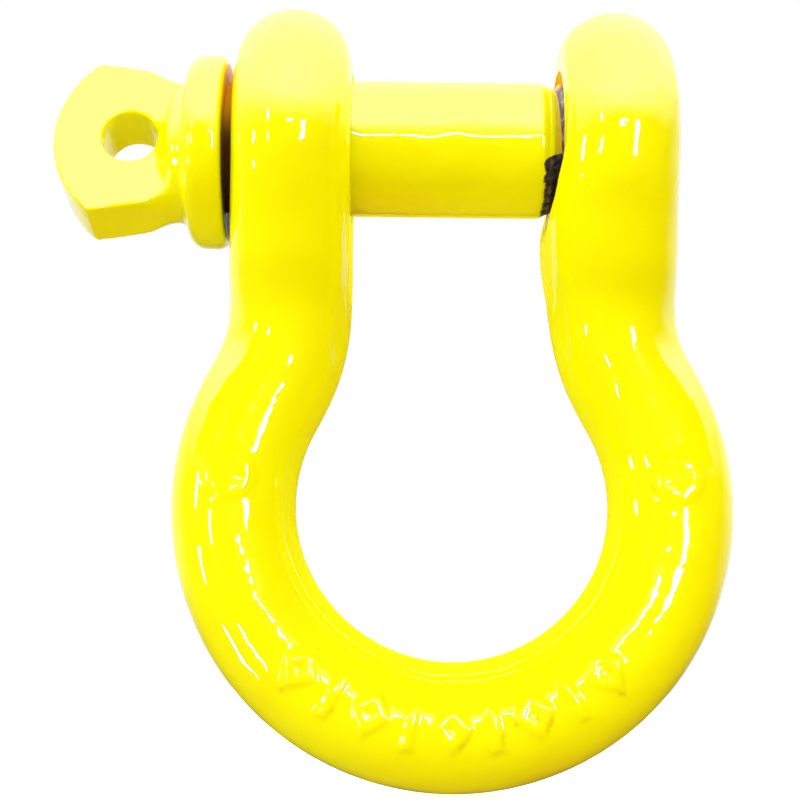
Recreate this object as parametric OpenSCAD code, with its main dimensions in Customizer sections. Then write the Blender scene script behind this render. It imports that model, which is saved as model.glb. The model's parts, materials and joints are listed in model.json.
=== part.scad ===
// Screw-pin bow shackle: a forged bow with two ears, and a screw pin with a flat eye tab.
// Millimetres. The origin is on the pin's axis, halfway between the ears.
// +X runs along the pin towards its thread, +Z from the bow's crown towards the pin.

/* [Bow] */
// Clear width between the two ears
jaw_w = 32.6; // [26:0.1:39.5]
// Clear length from the underside of the pin to the inside of the crown
inside_len = 73; // [60:0.5:90]
// Widest clear width inside the bow
bow_in_w = 50.2; // [41:0.1:62]
// Diameter of the forged bar
bar_d = 19.6; // [16:0.1:24]
// Radius of the bend that joins each leg to the bow, at the middle of the bar
bend_r = 27; // [21:0.5:33]

/* [Ears] */
// Diameter of each ear
ear_d = 44.8; // [40:0.1:55]
// How much thicker each ear is than the bar
ear_extra = 0.2; // [0.2:0.1:3]
// Radius of the hollow curve between an ear and its leg
ear_blend_r = 12; // [4:0.5:12]
// Room around the pin in the plain ear, on each side
plain_bore_gap = 0.6; // [0.3:0.1:1.2]
// Width of the chamfer at the mouth of the tapped ear
tapped_mouth = 1.3; // [0.5:0.1:2]

/* [Pin] */
// Diameter of the pin's shank
pin_d = 22.4; // [18.5:0.1:27]
// Distance the pin is backed off from tight
backed_off = 1.2; // [0.2:0.1:3]
// Diameter of the collar
collar_d = 31.8; // [30:0.1:38]
// Thickness of the collar
collar_t = 6.5; // [6:0.1:9]
// How far the forged head sits below the shank's axis
head_drop = 1; // [0:0.1:1.5]
// Pitch of the thread
pitch = 2.82; // [2:0.01:3.5]
// Depth of the thread
thread_depth = 1.6; // [1:0.1:2]

/* [Eye tab] */
// Thickness of the tab
tab_t = 10.2; // [8:0.1:13]
// Width of the tab at its outer corners
tab_w = 28.3; // [24:0.1:32]
// Width of the tab where it meets the collar
tab_root_w = 22.8; // [18:0.1:23.5]
// Length from the collar to the tab's outer corners
tab_len = 15.4; // [13:0.1:18]
// Radius of the rounded end
tab_end_r = 17.9; // [16.5:0.1:24]
// Diameter of the hole
eye_d = 9.1; // [6:0.1:11]
// Distance from the collar to the middle of the hole
eye_from_collar = 9.4; // [8.8:0.1:11]
// Turn of the tab about the pin's axis
tab_turn = 13.5; // [0:0.5:90]

/* [Raised marks] */
// Number of marks along the crown
mark_count = 9; // [5:1:11]
// Height of a mark above the bar
mark_h = 0.5; // [0.3:0.1:0.8]
// Angle between neighbouring marks
mark_step = 10.4; // [9:0.1:12]
// Diameter of the two round pads
pad_d = 7.6; // [5:0.1:10]

/* [Hidden] */
$fn = 96;
bar_r = bar_d / 2;
ear_r = ear_d / 2;
pin_r = pin_d / 2;
collar_r = collar_d / 2;
ear_w = bar_d + ear_extra;

// The bow: its own arc, the two bends that meet it, and the straight legs
bow_r = bow_in_w / 2 + bar_r;
leg_x = (jaw_w + ear_w) / 2;
bow_z = pin_r + inside_len + bar_r - bow_r;
bend_x = leg_x + bend_r;
bend_rise = sqrt(pow(bow_r + bend_r, 2) - pow(bend_x, 2));
meet_angle = atan2(bend_rise, bend_x);
leg_len = bow_z - bend_rise;

// Each bend is a hair thinner than the bar, and its ends lap into the leg and the bow
seam = 0.02;
lap_angle = 1;

// The ears: a full round rim, and a hollow curve down to the leg as long as the leg allows.
// The curve meets a circle just inside the rim, so that it crosses the rim and doesn't only touch it.
rim_r = ear_w / 2;
ear_face_r = ear_r - rim_r;
rim_lap = 0.1;
meet_r = ear_r - rim_lap;
blend_room = (pow(leg_len, 2) / (meet_r - bar_r) - meet_r - bar_r) / 2;
blend_r = min(ear_blend_r, max(1, blend_room));
blend_z = sqrt(pow(meet_r + blend_r, 2) - pow(bar_r + blend_r, 2));
flare_r = (bar_r + blend_r) * meet_r / (meet_r + blend_r);
ear_out_x = jaw_w / 2 + ear_w;

// The pin's thread, and the plain bore that stands for the tapped one
thread_undersize = 0.2;
thread_gap = 0.25;
thread_r = pin_r - thread_undersize;
thread_root_r = thread_r - thread_depth;
tapped_r = thread_r + thread_gap;
ridge_count = round(ear_w / pitch);
ridge_core = 1;
flank_start = 0.12 * pitch;
crest_start = 0.44 * pitch;

// The pin, from the collar to the end of its thread
shoulder_back = 0.5;
relief_w = 1.2;
chamfer = 0.6;
collar_x = -ear_out_x - backed_off;
shoulder_x = jaw_w / 2 - backed_off - shoulder_back;
thread_x = shoulder_x + relief_w;
pin_end_x = thread_x + ridge_count * pitch + chamfer;

// The pin's head, and how far its pieces run into one another
collar_round = 3;
neck_margin = 0.4;
neck_r = tab_root_w / 2 + neck_margin;
neck_tip_r = tab_t / 2 - neck_margin;
neck_len = 0.8;
neck_taper = 3;
tab_x = collar_x - collar_t;
overlap = 1;

// The raised marks
long_mark = 7.4;
wide_mark = 3.6;
bar_mark = 1.8;
pad_angle = 6;
through = 200;

// Turns a [radius, X] outline about the pin's axis
module turned() {
    rotate([0, 90, 0])
        rotate_extrude()
            children();
}

// A solid cylinder along the pin's axis, from x0 to x1
module rod(r, x0, x1) {
    translate([x0, 0, 0])
        rotate([0, 90, 0])
            cylinder(r = r, h = x1 - x0);
}

// A bar bent to an arc in the bow's plane, from an angle and through a sweep
module bent_bar(arc_r, section_r, from_angle, sweep) {
    rotate([90, 0, 0])
        rotate([0, 0, from_angle])
            rotate_extrude(angle = sweep)
                translate([arc_r, 0])
                    circle(r = section_r);
}

// The outline of a leg beside its own axis: straight bar, then the hollow curve up to the ear
module leg_outline() {
    translate([0, -leg_len])
        square([bar_r, leg_len]);
    difference() {
        translate([0, -blend_z])
            square([flare_r, blend_z]);
        translate([bar_r + blend_r, -blend_z])
            circle(r = blend_r);
    }
}

module leg() {
    intersection() {
        rotate_extrude()
            leg_outline();
        translate([seam - rim_r, -ear_r, -through / 2])
            cube([ear_w - 2 * seam, ear_d, through]);
    }
}

module ear() {
    turned() {
        translate([0, -rim_r])
            square([ear_face_r, ear_w]);
        intersection() {
            translate([ear_face_r, 0])
                circle(r = rim_r);
            translate([0, -rim_r])
                square([ear_r, ear_w]);
        }
    }
}

// One side of the bow, drawn for +X: ear, leg and bend
module side() {
    translate([leg_x, 0, 0]) {
        ear();
        leg();
    }
    translate([bend_x, 0, -leg_len])
        bent_bar(bend_r, bar_r - seam, 180 - lap_angle, meet_angle + 2 * lap_angle);
}

// A raised mark stands upright in the bow's plane: lozenges and upright bars in turn
module mark_shape(i) {
    if (i % 2 == 0) {
        polygon([[-wide_mark, 0], [0, -long_mark / 2], [wide_mark, 0], [0, long_mark / 2]]);
    } else {
        square([bar_mark, long_mark], center = true);
    }
}

module raised_marks() {
    intersection() {
        bent_bar(bow_r, bar_r + mark_h, 0, 360);
        rotate([90, 0, 0]) {
            for (i = [0 : mark_count - 1])
                rotate([0, 0, (i - (mark_count - 1) / 2) * mark_step])
                    translate([0, -bow_r, 0])
                        linear_extrude(height = bar_d)
                            mark_shape(i);
            for (angle = [pad_angle, 180 - pad_angle])
                rotate([0, 0, angle])
                    translate([bow_r, 0, 0])
                        cylinder(d = pad_d, h = bar_d);
        }
    }
}

module bow_body() {
    color([0.95, 0.88, 0.02])
        difference() {
            union() {
                side();
                mirror([1, 0, 0])
                    side();
                translate([0, 0, -bow_z]) {
                    bent_bar(bow_r, bar_r, -180 - meet_angle, 180 + 2 * meet_angle);
                    raised_marks();
                }
            }
            rod(pin_r + plain_bore_gap, -through / 2, 0);
            rod(tapped_r, 0, through / 2);
            tapped_mouth_cut();
        }
}

// The chamfer at the tapped ear's inner face
module tapped_mouth_cut() {
    turned()
        polygon([
            [0, 0],
            [tapped_r + tapped_mouth, 0],
            [tapped_r + tapped_mouth, jaw_w / 2],
            [tapped_r, jaw_w / 2 + tapped_mouth],
            [0, jaw_w / 2 + tapped_mouth]
        ]);
}

module collar() {
    turned()
        translate([0, tab_x]) {
            square([collar_r - collar_round, collar_t]);
            translate([0, collar_round])
                square([collar_r, collar_t - 2 * collar_round]);
            for (h = [collar_round, collar_t - collar_round])
                translate([collar_r - collar_round, h])
                    circle(r = collar_round);
        }
}

// Straight shank with a chamfered shoulder, a relief and the ridges of the thread
module shank() {
    rod(pin_r, collar_x - overlap, shoulder_x - chamfer);
    turned()
        polygon([
            [0, shoulder_x - chamfer],
            [pin_r, shoulder_x - chamfer],
            [pin_r - chamfer, shoulder_x],
            [0, shoulder_x]
        ]);
    rod(thread_root_r, shoulder_x - overlap, pin_end_x);
    for (i = [0 : ridge_count - 1])
        turned()
            translate([0, thread_x + i * pitch])
                polygon([
                    [thread_root_r - ridge_core, 0],
                    [thread_root_r, flank_start],
                    [thread_r, crest_start],
                    [thread_r, pitch - crest_start],
                    [thread_root_r, pitch - flank_start],
                    [thread_root_r - ridge_core, pitch]
                ]);
}

// The tab's outline, with its root at the collar: flared sides and a rounded end
module tab_outline() {
    intersection() {
        polygon([
            [overlap, -tab_root_w / 2],
            [0, -tab_root_w / 2],
            [-tab_len, -tab_w / 2],
            [-through, -tab_w / 2],
            [-through, tab_w / 2],
            [-tab_len, tab_w / 2],
            [0, tab_root_w / 2],
            [overlap, tab_root_w / 2]
        ]);
        translate([sqrt(pow(tab_end_r, 2) - pow(tab_w / 2, 2)) - tab_len, 0])
            circle(r = tab_end_r);
    }
}

// Lays a flat outline in the plane of the turned tab and gives it a thickness
module in_tab_plane(thickness) {
    translate([tab_x, 0, -head_drop])
        rotate([90 - tab_turn, 0, 0])
            translate([0, 0, -thickness / 2])
                linear_extrude(height = thickness)
                    children();
}

// The round neck that fades from the collar into the tab's two faces
module neck() {
    rod(neck_r, tab_x - neck_len, tab_x + overlap);
    translate([tab_x - neck_len - neck_taper, 0, 0])
        rotate([0, 90, 0])
            cylinder(r1 = neck_tip_r, r2 = neck_r, h = neck_taper);
}

module screw_pin() {
    color([0.95, 0.86, 0.02])
        difference() {
            union() {
                shank();
                translate([0, 0, -head_drop]) {
                    collar();
                    neck();
                }
                in_tab_plane(tab_t)
                    tab_outline();
            }
            in_tab_plane(2 * collar_d)
                translate([-eye_from_collar, 0])
                    circle(d = eye_d);
        }
}

bow_body();
screw_pin();
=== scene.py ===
"""A yellow enamelled screw-pin bow shackle. Metres, in the part's own frame:
+X along the pin towards its thread, +Z from the crown towards the pin, -Y the side with the raised marks."""

import json
import math

import bmesh
import bpy
from mathutils import Matrix, Quaternion, Vector


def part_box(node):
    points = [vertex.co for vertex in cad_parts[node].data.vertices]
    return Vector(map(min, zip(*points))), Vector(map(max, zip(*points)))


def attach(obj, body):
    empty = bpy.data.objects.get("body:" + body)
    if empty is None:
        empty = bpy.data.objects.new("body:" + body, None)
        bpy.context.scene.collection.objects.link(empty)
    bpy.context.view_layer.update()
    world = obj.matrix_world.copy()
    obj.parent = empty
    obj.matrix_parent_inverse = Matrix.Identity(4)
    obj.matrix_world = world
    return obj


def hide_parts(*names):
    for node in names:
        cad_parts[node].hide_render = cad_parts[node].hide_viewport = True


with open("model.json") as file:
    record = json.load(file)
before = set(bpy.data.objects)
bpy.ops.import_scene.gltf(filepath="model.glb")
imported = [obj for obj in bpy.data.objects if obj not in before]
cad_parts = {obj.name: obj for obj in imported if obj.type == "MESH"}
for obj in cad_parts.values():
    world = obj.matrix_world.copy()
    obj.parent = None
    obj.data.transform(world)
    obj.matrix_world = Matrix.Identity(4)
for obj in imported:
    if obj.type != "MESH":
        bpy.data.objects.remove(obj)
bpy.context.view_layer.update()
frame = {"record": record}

MM = 0.001
RENDER_LEVELS = 3
X_AXIS = Vector((1, 0, 0))

bow_low, bow_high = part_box("bow_body")
pin_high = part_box("screw_pin")[1]
mounts = {mount["name"]: mount for mount in frame["record"]["mounts"]}
saddle_z = mounts["bow_saddle"]["pos_m"][2]

# The bar of the bow, and the bow's own circle
BAR_R = (saddle_z - bow_low.z) / 2
BOW_R = bow_high.x - BAR_R
BOW_Z = bow_low.z + BAR_R + BOW_R
BEND_R = 27 * MM
BAR_SIDES = 24
CORNER = math.radians(45)
PAINT = 0.15 * MM
CROWN_SWELL = 0.2 * MM

# The ears: the left is plain, the right is tapped
EAR_R = bow_high.z
EAR_STEPS = 16
RIM_STEPS = 6
EAR_MOUTH = 67.5
TAPER = math.radians(22.5)
TAPER_END = 44 * MM
LEFT_EAR = {
    "side": -1, "x": -26.4 * MM, "half": 9.5 * MM, "bore": 11.8 * MM, "edge": 0.6 * MM, "leg_r": 9.85 * MM,
}
RIGHT_EAR = {
    "side": 1, "x": 25.75 * MM, "half": 9.6 * MM, "bore": 12.6 * MM, "edge": 1 * MM, "leg_r": 10.2 * MM,
}
MOUTH_DRESSED = 0.85 * MM
INNER_SWELL = 1.2 * MM

# The raised marks on the crown, and the two round pads
MARK_COUNT = 9
MARK_STEP = 10.4
MARK_H = 0.42 * MM
MARK_LONG = 7.4 * MM
MARK_WIDE = 3 * MM
MARK_STROKE = 1.5 * MM
MARK_EDGE = 1.4 * MM
PAD_EDGE = 2.2 * MM
PAD_R = 3.8 * MM
PAD_ANGLE = 6
PAD_DISH = 0.45  # share of MARK_H
# Painted shade at the foot of each mark and pad: how far outside the edge it is darkest, and how far it
# spreads
MARK_SHADE_OUT = 0.35 * MM
MARK_SHADE_WIDE = 0.4 * MM

# The pin
PIN_R = 11.2 * MM
THREAD_R = 11 * MM
THREAD_ROOT_R = 9.4 * MM
PITCH = 2.82 * MM
SHOULDER_X = 14.6 * MM
COLLAR_BACK_X = -37.2 * MM
COLLAR_T = 6.5 * MM
COLLAR_R = 15.9 * MM
COLLAR_ROUND = 3 * MM
HEAD_DROP = 1 * MM
TAB_T = 10.2 * MM
TAB_TURN = 13.5
TAB_END_R = 17.9 * MM
EYE_R = mounts["eye_hole"]["dims"]["r_mm"] * MM
EYE_FROM_COLLAR = 9.4 * MM
HEAD_VOXEL = 0.3 * MM


# ---------------------------------------------------------------- helpers

def limit_scale(step_degrees):
    """How much a subdivided ring shrinks when its corners stand this many degrees apart."""
    return (2 + math.cos(math.radians(step_degrees))) / 3


def finish_mesh(bm, name, smooth=True):
    """Merges doubles, points the faces outwards and turns the bmesh into an object."""
    bmesh.ops.remove_doubles(bm, verts=bm.verts, dist=0.0005 * MM)
    bmesh.ops.recalc_face_normals(bm, faces=bm.faces)
    mesh = bpy.data.meshes.new(name)
    bm.to_mesh(mesh)
    bm.free()
    piece = bpy.data.objects.new(name, mesh)
    bpy.context.scene.collection.objects.link(piece)
    if smooth:
        mesh.shade_smooth()
    return piece


def apply_modifiers(piece):
    """Replaces a piece's mesh with what its modifiers make of it."""
    seen = piece.evaluated_get(bpy.context.evaluated_depsgraph_get())
    mesh = bpy.data.meshes.new_from_object(seen)
    piece.modifiers.clear()
    piece.data = mesh
    mesh.name = piece.name
    mesh.shade_smooth()


def subdivide(piece, levels=RENDER_LEVELS):
    surface = piece.modifiers.new("surface", "SUBSURF")
    surface.levels = levels
    surface.render_levels = levels


def outline_edges(bm, points):
    """A chain of edges through points given as (x, radius), in the plane of X and Z."""
    corners = [bm.verts.new((x, 0, radius)) for x, radius in points]
    return [bm.edges.new(pair) for pair in zip(corners, corners[1:])], corners


def turned(bm, points, steps, closed=False):
    """Spins an outline about the X axis: a full turn, with its seam merged."""
    edges, corners = outline_edges(bm, points)
    if closed:
        edges.append(bm.edges.new((corners[-1], corners[0])))
    bmesh.ops.spin(
        bm, geom=corners + edges, cent=(0, 0, 0), axis=X_AXIS,
        angle=math.tau, steps=steps, use_merge=True,
    )


def smoothstep(value, low, high):
    t = min(1.0, max(0.0, (value - low) / (high - low)))
    return t * t * (3 - 2 * t)


# ---------------------------------------------------------------- the bow

def deepen(vert, radius, deep):
    """Moves a corner of a round ring towards the ear's section: flat sides and a round front and back."""
    around = math.atan2(abs(vert.co.y), abs(vert.co.x))
    straight = deep - radius
    if around <= CORNER:
        target = Vector((radius, straight * around / CORNER, 0))
    else:
        front = 2 * (around - CORNER)
        target = Vector((radius * math.cos(front), straight + radius * math.sin(front), 0))
    target.x = math.copysign(target.x, vert.co.x)
    target.y = math.copysign(target.y, vert.co.y)
    vert.co = vert.co.lerp(target, min(1.0, straight / (0.55 * radius)))


def bar_ring(bm, middle, turn, radius, deep):
    """One ring of the bar: its middle, its turn about Y, its radius and its half depth along Y."""
    grow = 1 / limit_scale(360 / BAR_SIDES)
    made = bmesh.ops.create_circle(bm, cap_ends=False, segments=BAR_SIDES, radius=radius * grow)
    for vert in made["verts"]:
        deepen(vert, radius * grow, deep * grow)
    place = Matrix.Translation(middle) @ Matrix.Rotation(turn, 4, "Y")
    bmesh.ops.transform(bm, matrix=place, verts=made["verts"])
    return made["verts"]


def ring_edges(verts):
    ring = set(verts)
    return [e for e in {e for v in verts for e in v.link_edges} if set(e.verts) <= ring]


def foot_depth(below, radius):
    """Half depth of the bar below the pin's axis: a straight taper from the ear that runs out."""
    taper = (EAR_R - below * math.sin(TAPER)) / math.cos(TAPER)
    ease = 3.5 * MM
    over = taper - radius
    run_out = smoothstep(TAPER_END - below, 0, 8 * MM)
    return radius + (over + math.sqrt(over * over + ease * ease)) / 2 * run_out


def side_shape(ear):
    """Where a leg's bend has its centre, and the angle through which it turns."""
    bend_x = abs(ear["x"]) + BEND_R
    rise = math.sqrt((BOW_R + BEND_R) ** 2 - bend_x ** 2)
    return bend_x, BOW_Z + rise, math.atan2(rise, bend_x)


def leg_stations(ear):
    """Rings from under an ear down its leg and round its bend, in that order."""
    side = ear["side"]
    upright = 0 if side > 0 else math.pi
    bend_x, bend_z, meet = side_shape(ear)
    rings = []
    for below in (15 * MM, 19 * MM, 23 * MM):
        width = ear["half"] + (ear["leg_r"] - ear["half"]) * smoothstep(below, 12 * MM, 27 * MM)
        rings.append(((ear["x"], 0, -below), upright, width, foot_depth(below, width)))
    bend_steps = 4
    for i in range(bend_steps):
        angle = meet * i / bend_steps
        middle = (side * (bend_x - BEND_R * math.cos(angle)), 0, bend_z - BEND_R * math.sin(angle))
        turn = -angle if side > 0 else math.pi + angle
        radius = ear["leg_r"] + (BAR_R + PAINT - ear["leg_r"]) * i / bend_steps
        rings.append((middle, turn, radius, foot_depth(-middle[2], radius)))
    return rings, meet


def crown_stations(right_meet, left_meet):
    """Rings round the bow's own circle, from the right bend under the crown to the left bend."""
    steps = 44
    sweep = right_meet + math.pi + left_meet
    rings = []
    for i in range(steps + 1):
        angle = right_meet - sweep * i / steps
        middle = (BOW_R * math.cos(angle), 0, BOW_Z + BOW_R * math.sin(angle))
        radius = BAR_R + PAINT + CROWN_SWELL * smoothstep(-math.sin(angle), 0.2, 0.9)
        rings.append((middle, -angle, radius, foot_depth(-middle[2], radius)))
    return rings


def add_ear(bm, ear):
    """An ear as a closed ring with a full round rim, open where the leg joins it. Returns that opening."""
    half, bore, edge = ear["half"], ear["bore"], ear["edge"]
    face_r = EAR_R + PAINT - half
    round_scale = limit_scale(360 / EAR_STEPS)
    rim_scale = limit_scale(180 / RIM_STEPS)
    points = [(-half + edge, bore), (-half, bore + edge / 2)]
    for i in range(RIM_STEPS + 1):
        around = math.radians(180 * i / RIM_STEPS - 90)
        points.append((half / rim_scale * math.sin(around), face_r + half / rim_scale * math.cos(around)))
    points[2] = (-half * 1.01, face_r)
    points[-1] = (half * 1.01, face_r)
    points += [(half, bore + edge / 2), (half - edge, bore)]
    shell = bmesh.new()
    turned(shell, [(x, r / round_scale) for x, r in points], EAR_STEPS, closed=True)
    bmesh.ops.remove_doubles(shell, verts=shell.verts, dist=0.001 * MM)
    mouth = math.cos(math.radians(EAR_MOUTH))
    rim_from = face_r / round_scale * 1.001
    under = [
        f for f in shell.faces
        if all(-v.co.z / max(v.co.yz.length, MM) > mouth - 0.01 for v in f.verts)
        and all(v.co.yz.length > rim_from - 0.02 * MM for v in f.verts)
    ]
    bmesh.ops.delete(shell, geom=under, context="FACES")
    bmesh.ops.translate(shell, verts=shell.verts, vec=(ear["x"], 0, 0))
    mesh = bpy.data.meshes.new("ear")
    shell.to_mesh(mesh)
    shell.free()
    before = set(bm.edges)
    bm.from_mesh(mesh)
    bpy.data.meshes.remove(mesh)
    return [e for e in bm.edges if e not in before and e.is_boundary]


def bow_cage():
    """The whole bow as one cage: an ear, its leg, the crown, the other leg and the other ear."""
    bm = bmesh.new()
    right_mouth = add_ear(bm, RIGHT_EAR)
    left_mouth = add_ear(bm, LEFT_EAR)
    right_leg, right_meet = leg_stations(RIGHT_EAR)
    left_leg, left_meet = leg_stations(LEFT_EAR)
    stations = right_leg + crown_stations(right_meet, left_meet) + left_leg[::-1]
    rings = [ring_edges(bar_ring(bm, *station)) for station in stations]
    for one, other in zip(rings, rings[1:]):
        bmesh.ops.bridge_loops(bm, edges=one + other)
    bmesh.ops.bridge_loops(bm, edges=right_mouth + rings[0])
    bmesh.ops.bridge_loops(bm, edges=left_mouth + rings[-1])
    return bm


def lozenge(across, along):
    """Distance inside the raised outline of a lozenge, in metres; below zero is outside."""
    slope = math.hypot(1, MARK_WIDE / (MARK_LONG / 2))
    inside = (MARK_WIDE - abs(across) - abs(along) * MARK_WIDE / (MARK_LONG / 2)) / slope
    return min(inside, MARK_STROKE - inside)


def upright_bar(across, along):
    return min(MARK_STROKE / 2 - abs(across), MARK_LONG / 2 - abs(along))


def mark_inside(angle, out):
    """How far a place on the crown's face is inside a raised mark: angle from straight down, and radius."""
    number = round(angle / MARK_STEP + (MARK_COUNT - 1) / 2)
    if number < 0 or number >= MARK_COUNT:
        return -MARK_LONG
    middle = (number - (MARK_COUNT - 1) / 2) * MARK_STEP
    across = math.radians(angle - middle) * out
    along = out - BOW_R
    return lozenge(across, along) if number % 2 == 0 else upright_bar(across, along)


def pad_inside(x, z):
    """How far a place is inside one of the two round pads, in metres."""
    reach = math.radians(PAD_ANGLE)
    pad_x, pad_z = BOW_R * math.cos(reach), BOW_Z + BOW_R * math.sin(reach)
    return PAD_R - math.hypot(abs(x) - pad_x, z - pad_z)


def raise_marks(mesh):
    """Lifts the marks and the dished pads off the bow's face, and notes round their foot where the enamel
    gets painted shade.
    """
    foot = mesh.attributes.new("mark_foot_shade", "FLOAT", "POINT")
    for vertex in mesh.vertices:
        place = vertex.co
        if place.y > -BAR_R / 3:
            continue
        x, z = place.x, place.z - BOW_Z
        angle = math.degrees(math.atan2(x, -z))
        inside = mark_inside(angle, math.hypot(x, z))
        pad = pad_inside(place.x, place.z)
        dish = PAD_DISH * smoothstep(pad, 1.0 * MM, 3.2 * MM)
        lift = smoothstep(inside, -MARK_EDGE / 2, MARK_EDGE / 2)
        lift += smoothstep(pad, -PAD_EDGE / 2, PAD_EDGE / 2) - dish
        nearest = max(inside, pad)
        # Painted shade at the foot of the marks and pads, for the bow's enamel
        foot.data[vertex.index].value = math.exp(-((nearest + MARK_SHADE_OUT) / MARK_SHADE_WIDE) ** 2)
        if lift > 0:
            vertex.co = place + vertex.normal * (lift * MARK_H)


def shape_tapped_ear(mesh):
    """Dresses the tapped ear's inner face back beside and above the hole, and swells it below the hole."""
    middle_x = RIGHT_EAR["x"]
    inner_x = middle_x - RIGHT_EAR["half"]
    for vertex in mesh.vertices:
        x, y, z = vertex.co
        if x < 0 or x > middle_x:
            continue
        near_hole = smoothstep(-math.hypot(y, z), -18.5 * MM, -13.5 * MM)
        dressed = near_hole * smoothstep(z, -11 * MM, -3 * MM)
        vertex.co.x += MOUTH_DRESSED * dressed * smoothstep(middle_x - x, 0, middle_x - inner_x)
        if z > 0:
            continue
        height = math.exp(-((z + 15 * MM) / (9 * MM)) ** 2)
        face = smoothstep(middle_x - x, 0, middle_x - inner_x)
        outside_hole = smoothstep(vertex.co.yz.length, 12 * MM, 16 * MM)
        vertex.co.x -= INNER_SWELL * height * face * outside_hole


def make_bow(enamel):
    bow = finish_mesh(bow_cage(), "forged_bow")
    subdivide(bow)
    apply_modifiers(bow)
    shape_tapped_ear(bow.data)
    raise_marks(bow.data)
    bow.data.materials.clear()
    bow.data.materials.append(enamel)
    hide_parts("bow_body")
    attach(bow, "bow")
    return bow


def make_tapped_sleeve(steel):
    """The tapped hole: its chamfered mouth and the turns of its thread, shallow enough to clear the pin."""
    start = RIGHT_EAR["x"] - RIGHT_EAR["half"] + RIGHT_EAR["edge"] + 0.1 * MM
    end = RIGHT_EAR["x"] + RIGHT_EAR["half"] - 0.4 * MM
    outer = RIGHT_EAR["bore"] + 0.3 * MM
    crest, root, mouth = 11.2 * MM, 11.7 * MM, 1.2 * MM
    bm = bmesh.new()
    turned(bm, [
        (start, outer), (start, root + mouth), (start + mouth, crest + 0.35 * MM),
        (end - mouth, crest + 0.35 * MM), (end, root + mouth), (end, outer),
    ], 96, closed=True)
    ridge = [(-0.3 * PITCH, root), (0, crest), (0.3 * PITCH, root)]
    add_thread(bm, ridge, start + mouth + PITCH / 2, end - mouth - PITCH / 2)
    sleeve = finish_mesh(bm, "tapped_thread", smooth=False)
    sleeve.data.materials.append(steel)
    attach(sleeve, "bow")
    return sleeve


# ---------------------------------------------------------------- the pin

def add_thread(bm, profile, start, end):
    """A closed ridge of the given (x, radius) outline, wound about the X axis from start to end."""
    turns = (end - start) / PITCH
    steps = round(turns * 48)
    face = bm.faces.new([bm.verts.new((start + x, 0, r)) for x, r in profile])
    bmesh.ops.spin(
        bm, geom=[face] + list(face.edges) + list(face.verts), cent=(0, 0, 0), axis=X_AXIS,
        dvec=X_AXIS * (end - start) / steps, angle=math.tau * turns, steps=steps,
    )


def make_shank(enamel):
    """Shank, shoulder, relief, thread core and end, turned in one piece."""
    end = pin_high.x
    bm = bmesh.new()
    turned(bm, [
        (COLLAR_BACK_X - 3 * MM, 0), (COLLAR_BACK_X - 3 * MM, PIN_R - MM),
        (COLLAR_BACK_X - 2 * MM, PIN_R), (0, PIN_R), (SHOULDER_X - 1.4 * MM, PIN_R),
        (SHOULDER_X - 0.8 * MM, PIN_R), (SHOULDER_X - 0.2 * MM, PIN_R - 0.25 * MM),
        (SHOULDER_X + 0.3 * MM, PIN_R - 0.6 * MM), (SHOULDER_X + 0.8 * MM, PIN_R - 0.65 * MM),
        (SHOULDER_X + 1.4 * MM, PIN_R - 0.9 * MM), (SHOULDER_X + 1.9 * MM, THREAD_ROOT_R),
        (end - 1.6 * MM, THREAD_ROOT_R), (end - 0.5 * MM, THREAD_ROOT_R - 0.3 * MM),
        (end, THREAD_ROOT_R - 1.2 * MM), (end, THREAD_ROOT_R - 3 * MM), (end, 0),
    ], 32)
    shank = finish_mesh(bm, "pin_shank")
    subdivide(shank, 2)
    apply_modifiers(shank)
    shank.data.materials.append(enamel)
    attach(shank, "pin")
    return shank


def make_pin_thread(steel):
    bm = bmesh.new()
    core = THREAD_ROOT_R - 0.4 * MM
    ridge = [
        (-0.42 * PITCH, core), (-0.4 * PITCH, THREAD_ROOT_R), (-0.07 * PITCH, THREAD_R),
        (0.07 * PITCH, THREAD_R), (0.4 * PITCH, THREAD_ROOT_R), (0.42 * PITCH, core),
    ]
    add_thread(bm, ridge, SHOULDER_X + 2.4 * MM, pin_high.x - 1.6 * MM)
    thread = finish_mesh(bm, "pin_thread", smooth=False)
    thread.data.materials.append(steel)
    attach(thread, "pin")
    return thread


def cylinder(name, radius, depth, place):
    bm = bmesh.new()
    bmesh.ops.create_cone(
        bm, cap_ends=True, segments=96, radius1=radius, radius2=radius, depth=depth, matrix=place)
    return finish_mesh(bm, name)


def tab_place():
    """The plane of the eye tab: its own X runs out from the collar, its Z through its thickness."""
    root = Vector((COLLAR_BACK_X - COLLAR_T, 0, -HEAD_DROP))
    lean = Matrix.Rotation(math.radians(90 - TAB_TURN), 4, "X")
    outwards = Matrix.Rotation(math.pi, 4, "Z") @ Matrix.Diagonal((1, -1, 1, 1))
    return Matrix.Translation(root) @ lean @ outwards


def tab_plate():
    """The flat tab: flared sides, a shoulder on its upper side and a round end."""
    length, half = 15.1 * MM, 14 * MM
    bottom_root, top_root = 11.4 * MM, 10.6 * MM
    points = [(-2 * MM, -bottom_root), (0, -bottom_root)]
    open_angle = math.asin(half / TAB_END_R)
    centre = length - TAB_END_R * math.cos(open_angle)
    arc_steps = 16
    for i in range(arc_steps + 1):
        angle = open_angle * (2 * i / arc_steps - 1)
        points.append((centre + TAB_END_R * math.cos(angle), TAB_END_R * math.sin(angle)))
    points += [(5.4 * MM, 12.5 * MM), (1.9 * MM, top_root), (-2 * MM, top_root)]
    bm = bmesh.new()
    face = bm.faces.new([bm.verts.new((x, y, -TAB_T / 2)) for x, y in points])
    grown = bmesh.ops.extrude_face_region(bm, geom=[face])
    raised = [g for g in grown["geom"] if isinstance(g, bmesh.types.BMVert)]
    bmesh.ops.translate(bm, verts=raised, vec=(0, 0, TAB_T))
    bmesh.ops.transform(bm, matrix=tab_place(), verts=bm.verts)
    return finish_mesh(bm, "tab_plate")


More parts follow.
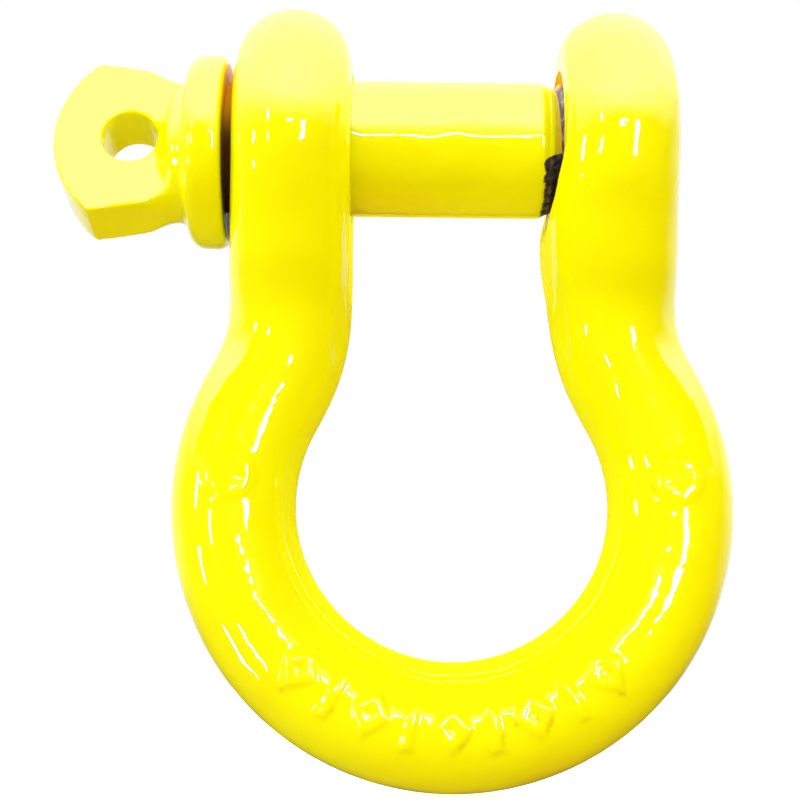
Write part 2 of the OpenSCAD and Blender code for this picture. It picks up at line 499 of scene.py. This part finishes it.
def carve(piece, cutter, operation="DIFFERENCE"):
    """Takes one solid out of another, or keeps only what they share, and drops the cutter."""
    take = piece.modifiers.new("carve", "BOOLEAN")
    take.operation = operation
    take.solver = "EXACT"
    take.object = cutter
    apply_modifiers(piece)
    bpy.data.objects.remove(cutter)


def round_root():
    """The round stock that the tab is drawn from: it takes the corners off the tab's root."""
    back = COLLAR_BACK_X - COLLAR_T
    bm = bmesh.new()
    turned(bm, [
        (back + 4 * MM, 0), (back + 4 * MM, 11.3 * MM), (back, 11.3 * MM), (back - 3 * MM, 11.9 * MM),
        (back - 5.5 * MM, 13 * MM), (back - 7.5 * MM, 15 * MM), (back - 9 * MM, 19 * MM),
        (back - 30 * MM, 19 * MM), (back - 30 * MM, 0),
    ], 96)
    bmesh.ops.translate(bm, verts=bm.verts, vec=(0, 0, -HEAD_DROP))
    return finish_mesh(bm, "round_root")


def neck_stock():
    """The round neck between the collar and the flats of the tab."""
    back = COLLAR_BACK_X - COLLAR_T
    bm = bmesh.new()
    turned(bm, [
        (back + 2 * MM, 0), (back + 2 * MM, 12.4 * MM), (back - 0.4 * MM, 11.3 * MM),
        (back - 2 * MM, 10.7 * MM), (back - 3 * MM, 9.2 * MM), (back - 4.4 * MM, 7 * MM),
        (back - 5.2 * MM, 4.6 * MM), (back - 5.2 * MM, 0),
    ], 96)
    bmesh.ops.translate(bm, verts=bm.verts, vec=(0, 0, -HEAD_DROP - 0.7 * MM))
    return finish_mesh(bm, "neck_stock")


def collar_disc():
    back = COLLAR_BACK_X - COLLAR_T
    points = [(back, 0), (back, COLLAR_R - COLLAR_ROUND)]
    for i in range(1, 6):
        around = math.radians(90 * i / 6)
        points.append((
            back + COLLAR_ROUND * (1 - math.cos(around)),
            COLLAR_R - COLLAR_ROUND * (1 - math.sin(around)),
        ))
    points += [(COLLAR_BACK_X - 1.4 * MM, COLLAR_R), (COLLAR_BACK_X - 0.3 * MM, COLLAR_R - 0.5 * MM)]
    points += [(COLLAR_BACK_X, COLLAR_R - 1.4 * MM), (COLLAR_BACK_X, 0)]
    bm = bmesh.new()
    turned(bm, points, 96)
    bmesh.ops.translate(bm, verts=bm.verts, vec=(0, 0, -HEAD_DROP))
    return finish_mesh(bm, "collar_disc")


def make_head(enamel):
    """Collar, neck and eye tab, run together into one skin, and eased as thick enamel eases it."""
    plate = tab_plate()
    neck = neck_stock()
    eye = tab_place() @ Matrix.Translation((EYE_FROM_COLLAR, 0, 0))
    carve(plate, round_root(), "INTERSECT")
    carve(plate, cylinder("eye", EYE_R, 40 * MM, eye))
    carve(neck, cylinder("eye", EYE_R, 40 * MM, eye))
    bm = bmesh.new()
    for part in (plate, neck, collar_disc()):
        bm.from_mesh(part.data)
        bpy.data.objects.remove(part)
    mesh = bpy.data.meshes.new("pin_head")
    bm.to_mesh(mesh)
    bm.free()
    head = bpy.data.objects.new("pin_head", mesh)
    bpy.context.scene.collection.objects.link(head)
    skin = head.modifiers.new("skin", "REMESH")
    skin.mode = "VOXEL"
    skin.voxel_size = HEAD_VOXEL
    skin.use_smooth_shade = True
    apply_modifiers(head)
    root = head.vertex_groups.new(name="root")
    for vertex in head.data.vertices:
        along = COLLAR_BACK_X - COLLAR_T - vertex.co.x
        share = smoothstep(along, -1.5 * MM, 1 * MM) * smoothstep(-along, -7.5 * MM, -4 * MM)
        root.add([vertex.index], share, "REPLACE")
    ease_root = head.modifiers.new("ease_root", "SMOOTH")
    ease_root.factor = 0.5
    ease_root.iterations = 60
    ease_root.vertex_group = "root"
    ease = head.modifiers.new("ease", "SMOOTH")
    ease.factor = 0.5
    ease.iterations = 10
    apply_modifiers(head)
    head.data.materials.clear()
    head.data.materials.append(enamel)
    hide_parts("screw_pin")
    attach(head, "pin")
    return head


# ---------------------------------------------------------------- finishes

class Nodes:
    """A material's node tree, with short calls that add a node and join it up."""

    def __init__(self, name):
        self.material = bpy.data.materials.new(name)
        self.material.use_nodes = True
        self.tree = self.material.node_tree
        self.shader = self.tree.nodes["Principled BSDF"]
        coordinates = self.tree.nodes.new("ShaderNodeTexCoord")
        self.place = coordinates.outputs["Object"]

    def join(self, source, target):
        if isinstance(source, bpy.types.NodeSocket):
            self.tree.links.new(source, target)
        else:
            target.default_value = source

    def noise(self, scale, detail=3.0, roughness=0.5, distortion=0.0):
        node = self.tree.nodes.new("ShaderNodeTexNoise")
        self.join(self.place, node.inputs["Vector"])
        node.inputs["Scale"].default_value = scale
        node.inputs["Detail"].default_value = detail
        node.inputs["Roughness"].default_value = roughness
        node.inputs["Distortion"].default_value = distortion
        return node.outputs["Fac"]

    def spots(self, scale):
        node = self.tree.nodes.new("ShaderNodeTexVoronoi")
        self.join(self.place, node.inputs["Vector"])
        node.inputs["Scale"].default_value = scale
        return node.outputs["Distance"]

    def below(self, value, low, high):
        """1 below low, 0 above high, and a smooth fall between them."""
        return self.ramp(value, low, high, 1.0, 0.0)

    def attribute(self, name):
        node = self.tree.nodes.new("ShaderNodeAttribute")
        node.attribute_name = name
        return node.outputs["Fac"]

    def axis(self, letter):
        node = self.tree.nodes.new("ShaderNodeSeparateXYZ")
        self.join(self.place, node.inputs[0])
        return node.outputs[letter]

    def calc(self, operation, one, other, third=None):
        node = self.tree.nodes.new("ShaderNodeMath")
        node.operation = operation
        self.join(one, node.inputs[0])
        self.join(other, node.inputs[1])
        if third is not None:
            self.join(third, node.inputs[2])
        return node.outputs[0]

    def ramp(self, value, low, high, from_value=0.0, to_value=1.0):
        node = self.tree.nodes.new("ShaderNodeMapRange")
        node.interpolation_type = "SMOOTHSTEP"
        self.join(value, node.inputs["Value"])
        node.inputs["From Min"].default_value = low
        node.inputs["From Max"].default_value = high
        node.inputs["To Min"].default_value = from_value
        node.inputs["To Max"].default_value = to_value
        return node.outputs["Result"]

    def blend(self, share, one, other):
        node = self.tree.nodes.new("ShaderNodeMix")
        node.data_type = "RGBA"
        self.join(share, node.inputs["Factor"])
        self.join(one, node.inputs["A"])
        self.join(other, node.inputs["B"])
        return node.outputs["Result"]

    def bump(self, height, distance, under=None):
        node = self.tree.nodes.new("ShaderNodeBump")
        self.join(height, node.inputs["Height"])
        node.inputs["Distance"].default_value = distance
        node.inputs["Strength"].default_value = 1.0
        if under is not None:
            self.join(under, node.inputs["Normal"])
        return node.outputs["Normal"]


ENAMEL = (0.92, 0.92, 0.0, 1)
ENAMEL_DEEP = (0.91, 0.86, 0.0, 1)
# Orange: painted shade next to the tapped ear, and orange undercoat on the pin's end
ORANGE_SHADE_AND_UNDERCOAT = (0.95, 0.50, 0.01, 1)
# Brown: random dust specks, and painted shade at the foot of the marks
DUST_AND_FOOT_SHADE = (0.60, 0.36, 0.01, 1)
# Dark brown: grime in the enamel's pits, and the dark painted shade low in the collar's gap
GRIME_AND_GAP_SHADE = (0.15, 0.06, 0.015, 1)
# Orange: the lighter painted shade high in the collar's gap, where light falls in from above
GAP_SHADE_ORANGE = (0.85, 0.42, 0.02, 1)
BARE = (0.085, 0.065, 0.095, 1)
SILVER = (0.50, 0.47, 0.51, 1)


def enamel_look(nodes):
    """Thick glossy enamel: its colour, its roughness, and a normal with waves, peel and pits."""
    cloud = nodes.noise(45, detail=2)
    colour = nodes.blend(nodes.ramp(cloud, 0.35, 0.75), ENAMEL, ENAMEL_DEEP)
    dust = nodes.ramp(nodes.noise(2600, detail=1), 0.70, 0.76)
    colour = nodes.blend(nodes.calc("MULTIPLY", dust, 0.12), colour, DUST_AND_FOOT_SHADE)
    pits = nodes.below(nodes.spots(40), 0.012, 0.02)
    colour = nodes.blend(pits, colour, GRIME_AND_GAP_SHADE)
    roughness = nodes.ramp(nodes.noise(180, detail=2), 0.3, 0.7, 0.22, 0.34)
    wave = nodes.bump(nodes.noise(150, detail=1.5), 0.3 * MM)
    peel = nodes.bump(nodes.noise(520, detail=1), 0.03 * MM, under=wave)
    normal = nodes.bump(nodes.calc("SUBTRACT", 0, pits), 0.1 * MM, under=peel)
    return colour, roughness, normal


def enamel_shader(nodes):
    """The parts of enamel's shine that are the same all over."""
    nodes.shader.inputs["IOR"].default_value = 1.5
    nodes.shader.inputs["Specular IOR Level"].default_value = 0.02
    nodes.shader.inputs["Coat Weight"].default_value = 1.0
    nodes.shader.inputs["Coat Roughness"].default_value = 0.02
    nodes.shader.inputs["Coat IOR"].default_value = 1.5


def bow_enamel():
    """The bow's enamel: painted shade in patches round the marks, orange painted shade at the tapped hole,
    and painted shade behind the collar.
    """
    nodes = Nodes("bow_enamel")
    enamel_shader(nodes)
    colour, roughness, normal = enamel_look(nodes)
    # Brown painted shade at the foot of a mark, in patches
    shade_patches = nodes.ramp(nodes.noise(220, detail=3), 0.55, 0.70)
    foot = nodes.calc("MULTIPLY", nodes.attribute("mark_foot_shade"), shade_patches)
    colour = nodes.blend(nodes.calc("MULTIPLY", foot, 0.5), colour, DUST_AND_FOOT_SHADE)
    # Orange painted shade round the mouth of the tapped hole
    across, deep, high = nodes.axis("X"), nodes.axis("Y"), nodes.axis("Z")
    reach_squared = nodes.calc("MULTIPLY_ADD", deep, deep, nodes.calc("MULTIPLY", high, high))
    mouth = nodes.below(reach_squared, (13.1 * MM) ** 2, (13.6 * MM) ** 2)
    mouth = nodes.calc("MULTIPLY", mouth, nodes.ramp(across, 0, MM))
    colour = nodes.blend(mouth, colour, ORANGE_SHADE_AND_UNDERCOAT)
    # Dull painted shade on the plain ear's outer face, in the gap behind the collar: dark below and orange
    # above, where light falls in
    gap_shade = nodes.below(reach_squared, (15 * MM) ** 2, (15.8 * MM) ** 2)
    gap_shade = nodes.calc("MULTIPLY", gap_shade, nodes.below(across, -35.2 * MM, -34.6 * MM))
    colour = nodes.blend(gap_shade, colour, nodes.blend(nodes.ramp(high, -3 * MM, 6 * MM), GRIME_AND_GAP_SHADE, GAP_SHADE_ORANGE))
    nodes.join(nodes.below(gap_shade, 0, 1), nodes.shader.inputs["Coat Weight"])
    nodes.join(colour, nodes.shader.inputs["Base Color"])
    nodes.join(roughness, nodes.shader.inputs["Roughness"])
    nodes.join(normal, nodes.shader.inputs["Normal"])
    nodes.join(normal, nodes.shader.inputs["Coat Normal"])
    return nodes.material


def bare_look(nodes):
    """Cut steel: dark with oil, with small bright flecks. Returns its colour and roughness."""
    bright = nodes.ramp(nodes.noise(700, detail=4, distortion=0.6), 0.42, 0.85)
    colour = nodes.blend(bright, BARE, SILVER)
    roughness = nodes.ramp(nodes.noise(900, detail=3), 0.3, 0.7, 0.28, 0.5)
    return colour, roughness


# Where the pin's paint stops on its upper side, and how much sooner on its lower side
TORN_EDGE_X = 17.1 * MM
TORN_EDGE_STEP = 2.8 * MM


def pin_enamel():
    """The pin's enamel: painted shade in the collar's gap, torn off at the thread, and orange beyond it:
    painted shade beside the tapped ear, running on as undercoat to the end.
    """
    nodes = Nodes("pin_enamel")
    enamel_shader(nodes)
    colour, roughness, normal = enamel_look(nodes)
    across, high = nodes.axis("X"), nodes.axis("Z")
    # Dull painted shade in the gap between the collar and the plain ear: dark below and orange above
    in_gap = nodes.ramp(across, -37.3 * MM, -37.15 * MM)
    in_gap = nodes.calc("MULTIPLY", in_gap, nodes.below(across, -35.3 * MM, -34.6 * MM))
    gap_shade = nodes.blend(nodes.ramp(high, -3 * MM, 4 * MM), GRIME_AND_GAP_SHADE, GAP_SHADE_ORANGE)
    colour = nodes.blend(in_gap, colour, gap_shade)
    # Bare steel past the torn edge, up to the painted end of the pin
    steel, steel_rough = bare_look(nodes)
    jag = nodes.ramp(nodes.noise(520, detail=4, roughness=0.75), 0.25, 0.75, -0.4 * MM, 0.4 * MM)
    lower = nodes.below(high, -4.6 * MM, -2.8 * MM)
    edge = nodes.calc("MULTIPLY_ADD", lower, -TORN_EDGE_STEP, TORN_EDGE_X)
    # Orange painted shade beside the tapped ear, which runs on as orange undercoat to the pin's end
    ear_shade_and_undercoat = nodes.ramp(across, 15.6 * MM, 16.6 * MM)
    colour = nodes.blend(nodes.calc("MULTIPLY", ear_shade_and_undercoat, 0.8), colour, ORANGE_SHADE_AND_UNDERCOAT)
    past = nodes.calc("SUBTRACT", nodes.calc("ADD", across, jag), edge)
    capped = nodes.below(across, pin_high.x - 1.3 * MM, pin_high.x - 0.9 * MM)
    bare = nodes.calc("MULTIPLY", nodes.ramp(past, -0.05 * MM, 0.05 * MM), capped)
    nodes.join(nodes.blend(bare, colour, steel), nodes.shader.inputs["Base Color"])
    nodes.join(nodes.calc("MULTIPLY", bare, 0.85), nodes.shader.inputs["Metallic"])
    rough = nodes.tree.nodes.new("ShaderNodeMix")
    nodes.join(bare, rough.inputs["Factor"])
    nodes.join(roughness, rough.inputs["A"])
    nodes.join(steel_rough, rough.inputs["B"])
    nodes.join(rough.outputs["Result"], nodes.shader.inputs["Roughness"])
    dull = nodes.calc("MAXIMUM", bare, in_gap)
    nodes.join(nodes.below(dull, 0, 1), nodes.shader.inputs["Coat Weight"])
    lip = nodes.bump(nodes.calc("SUBTRACT", 1, bare), 0.25 * MM, under=normal)
    nodes.join(lip, nodes.shader.inputs["Normal"])
    nodes.join(normal, nodes.shader.inputs["Coat Normal"])
    return nodes.material


def thread_steel():
    """Bare steel for both threads, with orange painted shade on top where the threads begin."""
    nodes = Nodes("thread_steel")
    colour, roughness = bare_look(nodes)
    across, high = nodes.axis("X"), nodes.axis("Z")
    # Orange painted shade on top of the threads, beside the tapped ear's mouth
    on_top = nodes.ramp(high, 8 * MM, 10 * MM)
    top_shade = nodes.calc("MULTIPLY", on_top, nodes.below(across, 18 * MM, 18.6 * MM))
    top_shade = nodes.calc("MULTIPLY", top_shade, nodes.ramp(across, 0, MM))
    colour = nodes.blend(top_shade, colour, ORANGE_SHADE_AND_UNDERCOAT)
    nodes.join(colour, nodes.shader.inputs["Base Color"])
    nodes.join(roughness, nodes.shader.inputs["Roughness"])
    nodes.shader.inputs["Metallic"].default_value = 0.5
    fine = nodes.bump(nodes.noise(1500, detail=3), 0.03 * MM)
    nodes.join(fine, nodes.shader.inputs["Normal"])
    return nodes.material


# ---------------------------------------------------------------- floor, light and camera

def make_floor():
    """A wide pale floor that glows enough to read as white. Neither gloss nor bounced light sees it."""
    bm = bmesh.new()
    bmesh.ops.create_grid(bm, x_segments=1, y_segments=1, size=3)
    bmesh.ops.translate(bm, verts=bm.verts, vec=(0, 0, bow_low.z - 0.6 * MM))
    floor = finish_mesh(bm, "floor", smooth=False)
    nodes = Nodes("pale_floor")
    speck = nodes.ramp(nodes.noise(60), 0.3, 0.7)
    pale = nodes.blend(speck, (0.90, 0.90, 0.90, 1), (0.94, 0.94, 0.94, 1))
    nodes.join(pale, nodes.shader.inputs["Base Color"])
    nodes.shader.inputs["Roughness"].default_value = 0.9
    nodes.shader.inputs["Emission Color"].default_value = (1, 1, 1, 1)
    nodes.shader.inputs["Emission Strength"].default_value = 0.75
    floor.data.materials.append(nodes.material)
    floor.visible_glossy = False
    floor.visible_diffuse = False


STRIP_RADIANCE = 70
PANE_RADIANCE = 42
LIGHTS_MIDDLE = Vector((0, 0, -40 * MM))


def direction(azimuth, elevation):
    """A unit vector towards a light: azimuth 0 is the camera's side, 90 is +X."""
    a, e = math.radians(azimuth), math.radians(elevation)
    return Vector((math.sin(a) * math.cos(e), -math.cos(a) * math.cos(e), math.sin(e)))


def strip_light(name, azimuth, elevation, width, height, radiance):
    """A small bright light a metre away that only shows as a streak in the gloss."""
    light = bpy.data.lights.new(name, "AREA")
    light.shape = "RECTANGLE"
    light.size = width
    light.size_y = height
    light.energy = radiance * math.pi * width * height
    lamp = bpy.data.objects.new(name, light)
    towards = direction(azimuth, elevation)
    lamp.location = LIGHTS_MIDDLE + towards
    lamp.rotation_mode = "QUATERNION"
    lamp.rotation_quaternion = towards.to_track_quat("Z", "Y")
    lamp.visible_camera = False
    lamp.visible_diffuse = False
    bpy.context.scene.collection.objects.link(lamp)


def pane_column(name, azimuth, width, panes):
    """Panes one above another, each given as (elevation, height)."""
    for number, (elevation, height) in enumerate(panes, 1):
        strip_light(f"{name}_{number}", azimuth, elevation, width, height, PANE_RADIANCE)


def make_lights():
    """A wide low strip in front, a tall one on the right, and two columns of panes on the left."""
    strip_light("middle_strip", 2, 9, 0.20, 0.04, STRIP_RADIANCE)
    strip_light("right_strip", 26, 2, 0.14, 0.28, PANE_RADIANCE)
    pane_column("left_pane", -40, 0.055, [(15, 0.09), (0, 0.12), (-22, 0.20)])
    pane_column("far_left_pane", -70, 0.075, [(6, 0.12), (-9, 0.10), (-30, 0.22)])


def make_flag(name, finish, wide, tall, place, upright):
    """A studio card that only reflections see: it keeps the bright room out of a part of the gloss."""
    bm = bmesh.new()
    bmesh.ops.create_grid(bm, x_segments=1, y_segments=1, size=1)
    bmesh.ops.scale(bm, verts=bm.verts, vec=(wide / 2, tall / 2, 1))
    if upright:
        bmesh.ops.rotate(bm, verts=bm.verts, matrix=Matrix.Rotation(math.pi / 2, 3, "X"))
    bmesh.ops.translate(bm, verts=bm.verts, vec=place)
    flag = finish_mesh(bm, name, smooth=False)
    flag.data.materials.append(finish)
    flag.visible_camera = False
    flag.visible_diffuse = False
    flag.visible_shadow = False


def card(name, dark, pale):
    """A matt card's material, between two shades."""
    nodes = Nodes(name)
    nap = nodes.ramp(nodes.noise(400), 0.3, 0.7, 0.85, 1.0)
    nodes.join(nodes.blend(nap, dark, pale), nodes.shader.inputs["Base Color"])
    nodes.join(nap, nodes.shader.inputs["Roughness"])
    nodes.shader.inputs["Specular IOR Level"].default_value = 0
    return nodes.material


def make_flags():
    """A black card that lies flat in front of the opening, and three yellow ones behind the bow."""
    black = card("black_card", (0.004, 0.004, 0.004, 1), (0.008, 0.008, 0.008, 1))
    yellow = card("yellow_card", (0.85, 0.75, 0.04, 1), (0.90, 0.80, 0.05, 1))
    make_flag("front_flag", black, 240 * MM, 142.4 * MM, (0, -82.8 * MM, -32 * MM), upright=False)
    make_flag("under_pin_flag", yellow, 30 * MM, 15 * MM, (0, 18.5 * MM, -24 * MM), upright=False)
    make_flag("opening_flag", yellow, 64 * MM, 74 * MM, (0, 16 * MM, -63 * MM), upright=True)
    make_flag("back_flag", yellow, 50 * MM, 50 * MM, (0, 45 * MM, -1 * MM), upright=True)


# What reflections see: a ceiling that is brightest above the front, a pale wall behind, and a dim room
CEILING_AT_TOP = 3.85
CEILING_FALL_TO_BACK = 3.8
CEILING_LEAST = 0.8
WALL = 0.85
ROOM = 0.03

# What lights matt surfaces: it is strongest from below, and stronger from the left than from the right
SOFT_LEVEL = 0.63
SOFT_ABOVE_AND_BELOW = 0.27
SOFT_FALL_UPWARDS = 0.25
SOFT_FALL_TO_RIGHT = 0.24
WARM = (1, 0.62, 0.4, 1)


def make_world():
    """White to the camera, a ceiling and a wall to reflections, and a light of their own to matt surfaces."""
    world = bpy.data.worlds.new("studio")
    bpy.context.scene.world = world
    world.use_nodes = True
    tree = world.node_tree
    background = tree.nodes["Background"]
    coordinates = tree.nodes.new("ShaderNodeTexCoord")
    split = tree.nodes.new("ShaderNodeSeparateXYZ")
    tree.links.new(coordinates.outputs["Generated"], split.inputs[0])

    def ramp(socket, low, high, to_value):
        node = tree.nodes.new("ShaderNodeMapRange")
        node.interpolation_type = "SMOOTHSTEP"
        tree.links.new(socket, node.inputs["Value"])
        node.inputs["From Min"].default_value = low
        node.inputs["From Max"].default_value = high
        node.inputs["To Max"].default_value = to_value
        return node.outputs["Result"]

    def join(operation, one, other):
        node = tree.nodes.new("ShaderNodeMath")
        node.operation = operation
        for socket, value in zip(node.inputs, (one, other)):
            if isinstance(value, bpy.types.NodeSocket):
                tree.links.new(value, socket)
            else:
                socket.default_value = value
        return node.outputs[0]

    across, back, up = split.outputs["X"], split.outputs["Y"], split.outputs["Z"]
    fall = join("SUBTRACT", CEILING_AT_TOP, join("MULTIPLY", back, CEILING_FALL_TO_BACK))
    ceiling = join("MULTIPLY", ramp(up, 0.15, 0.62, 1.0), join("MAXIMUM", fall, CEILING_LEAST))
    wall = join("MULTIPLY", ramp(back, 0.05, 0.6, WALL), ramp(up, -0.30, 0.05, 1.0))
    mirrored = join("ADD", join("MAXIMUM", ceiling, wall), ROOM)
    curve = join("MULTIPLY", join("MULTIPLY", up, up), SOFT_ABOVE_AND_BELOW)
    fall_to_right = join("MULTIPLY", across, SOFT_FALL_TO_RIGHT)
    slope = join("ADD", join("MULTIPLY", up, SOFT_FALL_UPWARDS), fall_to_right)
    soft = join("SUBTRACT", join("ADD", SOFT_LEVEL, curve), slope)
    ray = tree.nodes.new("ShaderNodeLightPath")
    matt = ray.outputs["Is Diffuse Ray"]
    seen = ray.outputs["Is Camera Ray"]
    in_gloss = join("MULTIPLY", mirrored, join("SUBTRACT", 1, matt))
    lit = join("ADD", join("MULTIPLY", soft, matt), in_gloss)
    strength = join("ADD", join("MULTIPLY", lit, join("SUBTRACT", 1, seen)), seen)
    # The light on matt surfaces turns warm from below and from the right
    lift = join("SUBTRACT", join("MULTIPLY", up, 0.7), join("MULTIPLY", across, 0.6))
    tint = tree.nodes.new("ShaderNodeMix")
    tint.data_type = "RGBA"
    tree.links.new(join("MULTIPLY", matt, ramp(lift, -0.05, -0.80, 1.0)), tint.inputs["Factor"])
    tint.inputs["A"].default_value = (1, 1, 1, 1)
    tint.inputs["B"].default_value = WARM
    tree.links.new(tint.outputs["Result"], background.inputs["Color"])
    tree.links.new(strength, background.inputs["Strength"])


def make_camera():
    """In front of the marked face, at the crown's height, and looking a little upwards."""
    camera = bpy.data.cameras.new("camera")
    camera.lens = 74.38
    camera.sensor_width = 36
    camera.clip_start = 10 * MM
    eye = bpy.data.objects.new("camera", camera)
    stand = Vector((-8.3, -263.3, -86.8)) * MM
    aim = Vector((-8.5, 6.9, -40.9)) * MM
    roll = Quaternion((0, 0, 1), math.radians(0.72))
    eye.location = stand
    eye.rotation_mode = "QUATERNION"
    eye.rotation_quaternion = (aim - stand).to_track_quat("-Z", "Y") @ roll
    bpy.context.scene.collection.objects.link(eye)
    bpy.context.scene.camera = eye
    bpy.context.scene.view_settings.view_transform = "Standard"


bow_paint = bow_enamel()
pin_paint = pin_enamel()
steel = thread_steel()
make_bow(bow_paint)
make_tapped_sleeve(steel)
make_head(pin_paint)
make_shank(pin_paint)
make_pin_thread(steel)
make_floor()
make_lights()
make_flags()
make_world()
make_camera()
